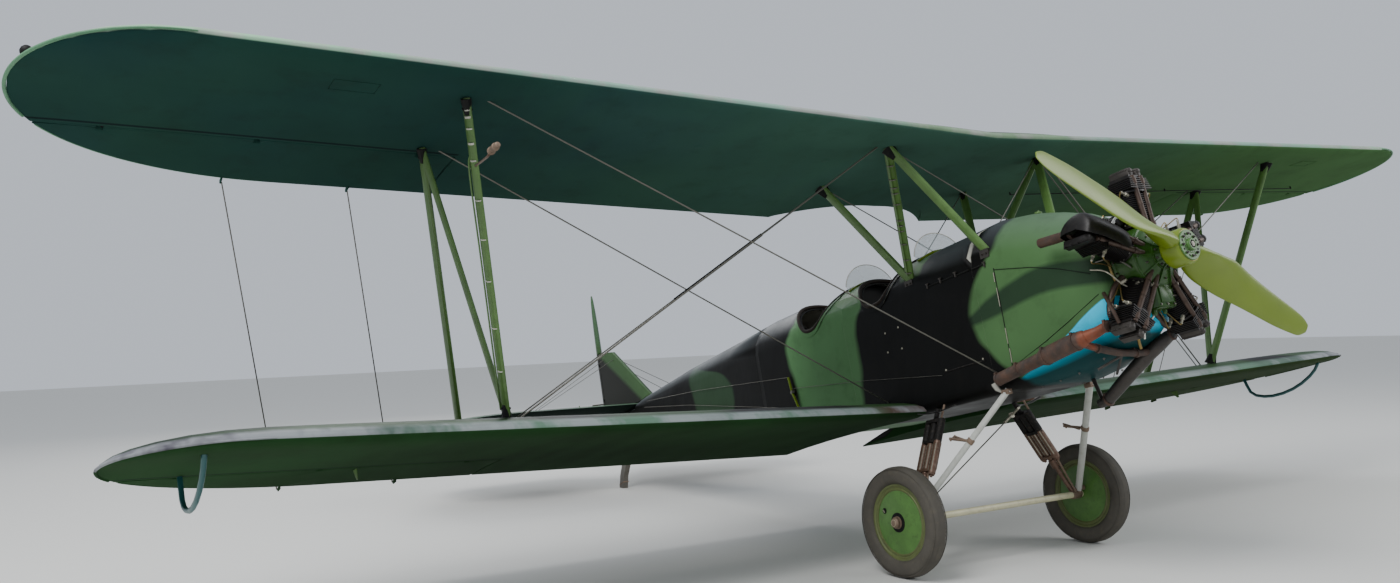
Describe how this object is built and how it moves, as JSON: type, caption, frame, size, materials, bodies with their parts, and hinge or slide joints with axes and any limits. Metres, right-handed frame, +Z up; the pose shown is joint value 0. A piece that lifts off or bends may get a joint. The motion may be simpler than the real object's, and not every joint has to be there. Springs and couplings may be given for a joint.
{
  "type": "biplane",
  "caption": "Open two-seat training biplane with a radial engine, fixed axle gear, tail skid and hinged control surfaces.",
  "frame": {"origin": "on the ground, below the middle of the whole aeroplane's bounding box", "axes": "+X to the aeroplane's left along the span, -Y towards the nose, +Z up; it stands tail down, so its thrust line rises 12.5 degrees towards the nose"},
  "size_m": [11.4, 8.0376, 3.0622],
  "materials": {
    "camouflage": "green and black camouflage, matt paint on fabric, plywood and sheet metal",
    "wing_green": "dark green doped fabric",
    "strut_green": "green paint, satin",
    "teal": "teal paint, satin",
    "propeller_green": "light green enamel on laminated wood",
    "engine_green": "green paint, a little oily",
    "engine_black": "black heat paint, worn",
    "rusty_pipe": "rusty exhaust pipe",
    "grey_paint": "pale grey paint, satin",
    "tyre": "dark grey rubber",
    "steel": "bare steel, dulled",
    "shock_black": "black rubber shock cord on tubes",
    "glass": "clear sheet",
    "leather": "dark brown, worn",
    "dark": "dark matt paint"
  },
  "bodies": {
    "airframe": {"nose_cowl": "camouflage", "fuselage_forward": "camouflage", "fuselage_middle": "camouflage", "fuselage_rear": "camouflage", "seat_front": "leather", "instrument_panel_front": "dark", "windscreen_front": "glass", "seat_rear": "leather", "instrument_panel_rear": "dark", "windscreen_rear": "glass", "engine_crankcase": "engine_green", "engine_cylinder_1": "engine_black", "engine_cylinder_2": "engine_black", "engine_cylinder_3": "engine_black", "engine_cylinder_4": "engine_black", "engine_cylinder_5": "engine_black", "exhaust_collector": "rusty_pipe", "exhaust_stub": "rusty_pipe", "lower_trunk": "engine_black", "upper_wing_centre": "wing_green", "upper_wing_left": "wing_green", "upper_wing_right": "wing_green", "lower_wing_left": "wing_green", "lower_wing_right": "wing_green", "wing_tip_hoop_left": "teal", "wing_tip_hoop_right": "teal", "interplane_struts_left": "strut_green", "interplane_struts_right": "strut_green", "cabane_struts_left": "strut_green", "cabane_struts_right": "strut_green", "flying_wire_front_left": "steel", "flying_wire_front_right": "steel", "flying_wire_rear_left": "steel", "flying_wire_rear_right": "steel", "landing_wire_left": "steel", "landing_wire_right": "steel", "axle": "grey_paint", "gear_leg_front_left": "grey_paint", "gear_leg_front_right": "grey_paint", "gear_leg_shock_left": "shock_black", "gear_leg_shock_right": "shock_black", "tail_skid": "steel", "tailplane": "wing_green", "fin": "camouflage"},
    "propeller": {"propeller": "propeller_green"},
    "wheel_left": {"tyre_left": "tyre", "wheel_disc_left": "strut_green"},
    "wheel_right": {"tyre_right": "tyre", "wheel_disc_right": "strut_green"},
    "rudder": {"rudder": "camouflage"},
    "elevators": {"elevator_left": "wing_green", "elevator_right": "wing_green"},
    "aileron_upper_left": {"aileron_upper_left": "wing_green"},
    "aileron_upper_right": {"aileron_upper_right": "wing_green"},
    "aileron_lower_left": {"aileron_lower_left": "wing_green"},
    "aileron_lower_right": {"aileron_lower_right": "wing_green"},
    "aileron_links_left": {"aileron_link_outer_left": "steel", "aileron_link_inner_left": "steel"},
    "aileron_links_right": {"aileron_link_outer_right": "steel", "aileron_link_inner_right": "steel"}
  },
  "joints": [
    {"name": "propeller_spin", "type": "hinge", "parent": "airframe", "child": "propeller", "pos_m": [0, -3.96916, 1.99204], "axis": [0, 0.9763, -0.2164], "continuous": true},
    {"name": "wheel_left_spin", "type": "hinge", "parent": "airframe", "child": "wheel_left", "pos_m": [0.87, -2.43008, 0.35], "axis": [1, 0, 0], "continuous": true},
    {"name": "wheel_right_spin", "type": "hinge", "parent": "airframe", "child": "wheel_right", "pos_m": [-0.87, -2.43008, 0.35], "axis": [1, 0, 0], "continuous": true},
    {"name": "rudder_swing", "type": "hinge", "parent": "airframe", "child": "rudder", "pos_m": [0, 3.19004, 1.01945], "axis": [0, 0.2164, 0.9763], "range_deg": [-2, 58]},
    {"name": "elevator_swing", "type": "hinge", "parent": "airframe", "child": "elevators", "pos_m": [0, 3.05677, 0.74172], "axis": [1, 0, 0], "range_deg": [-25, 25]},
    {"name": "aileron_upper_left_swing", "type": "hinge", "parent": "airframe", "child": "aileron_upper_left", "pos_m": [4.5, -1.44016, 2.77308], "axis": [0.9993, 0.0082, 0.0371], "range_deg": [-20, 20]},
    {"name": "aileron_upper_right_swing", "type": "hinge", "parent": "airframe", "child": "aileron_upper_right", "pos_m": [-4.5, -1.44016, 2.77308], "axis": [0.9993, -0.0082, -0.0371], "range_deg": [-20, 20]},
    {"name": "aileron_lower_left_swing", "type": "hinge", "parent": "airframe", "child": "aileron_lower_left", "pos_m": [4.2, -1.06045, 0.9329], "axis": [0.9993, 0.0082, 0.0371], "range_deg": [-20, 20]},
    {"name": "aileron_lower_right_swing", "type": "hinge", "parent": "airframe", "child": "aileron_lower_right", "pos_m": [-4.2, -1.06045, 0.9329], "axis": [0.9993, -0.0082, -0.0371], "range_deg": [-20, 20]},
    {"name": "aileron_links_left_swing", "type": "hinge", "parent": "aileron_upper_left", "child": "aileron_links_left", "pos_m": [4.25, -0.90152, 2.55994], "axis": [0.9993, 0.0082, 0.0371], "range_deg": [-20, 20]},
    {"name": "aileron_links_right_swing", "type": "hinge", "parent": "aileron_upper_right", "child": "aileron_links_right", "pos_m": [-4.25, -0.90152, 2.55994], "axis": [0.9993, -0.0082, -0.0371], "range_deg": [-20, 20]}
  ],
  "couplings": [
    {"joint": "aileron_lower_left_swing", "follows": "aileron_upper_left_swing", "ratio": 1},
    {"joint": "aileron_upper_right_swing", "follows": "aileron_upper_left_swing", "ratio": -1},
    {"joint": "aileron_lower_right_swing", "follows": "aileron_upper_left_swing", "ratio": -1},
    {"joint": "aileron_links_left_swing", "follows": "aileron_upper_left_swing", "ratio": -1},
    {"joint": "aileron_links_right_swing", "follows": "aileron_upper_left_swing", "ratio": 1}
  ]
}
